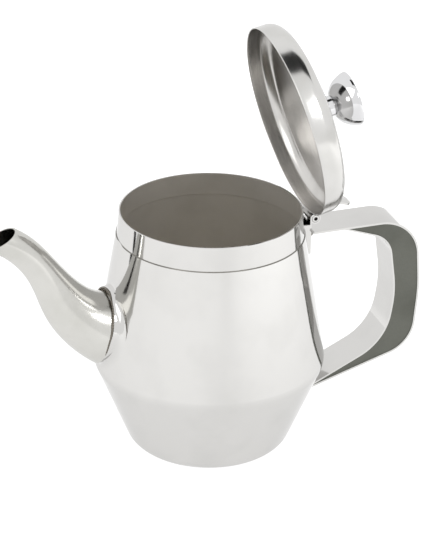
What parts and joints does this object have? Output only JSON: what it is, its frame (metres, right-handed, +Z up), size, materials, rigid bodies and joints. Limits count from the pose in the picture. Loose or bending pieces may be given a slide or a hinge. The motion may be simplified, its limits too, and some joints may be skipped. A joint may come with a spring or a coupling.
{
  "type": "coffee pot",
  "caption": "Stainless steel pot with a long curved spout, a hollow strap handle and a hinged cap lid with a knob; for heating, holding and pouring coffee or tea.",
  "frame": {"origin": "centre of the base, on the surface the pot stands on and on the pot's axis", "axes": "+Z up along the pot's axis, -X towards the spout, +X towards the handle, +Y along the hinge; the lid is stored open"},
  "size_m": [0.2197, 0.114, 0.2125],
  "materials": {
    "mirror_steel": "buffed stainless steel sheet with a near-mirror polish outside",
    "satin_steel": "soft polished stainless steel",
    "blasted_steel": "fine blasted dark grey stainless steel",
    "weld_steel": "weld bead, cleaned but not polished",
    "plated_knob": "bright mirror plating",
    "fastener_steel": "plain stainless steel"
  },
  "bodies": {
    "pot": {"body_shell": "mirror_steel", "spout": "satin_steel", "spout_weld_seam": "weld_steel", "handle_outer_strap": "mirror_steel", "handle_inner_strap": "mirror_steel", "handle_side_plate_left": "blasted_steel", "handle_side_plate_right": "blasted_steel", "handle_strap_weld": "weld_steel", "hinge_bracket": "mirror_steel", "hinge_pin": "mirror_steel"},
    "lid": {"lid_shell": "mirror_steel", "lid_hinge_leaf": "mirror_steel", "thumb_tab": "mirror_steel", "lid_knob": "plated_knob", "knob_collar": "plated_knob", "knob_washer": "fastener_steel", "knob_screw": "fastener_steel"}
  },
  "joints": [
    {"name": "lid_hinge", "type": "hinge", "parent": "pot", "child": "lid", "pos_m": [0.0512, 0, 0.1156], "axis": [0, 1, 0], "range_deg": [-76, 24]}
  ]
}
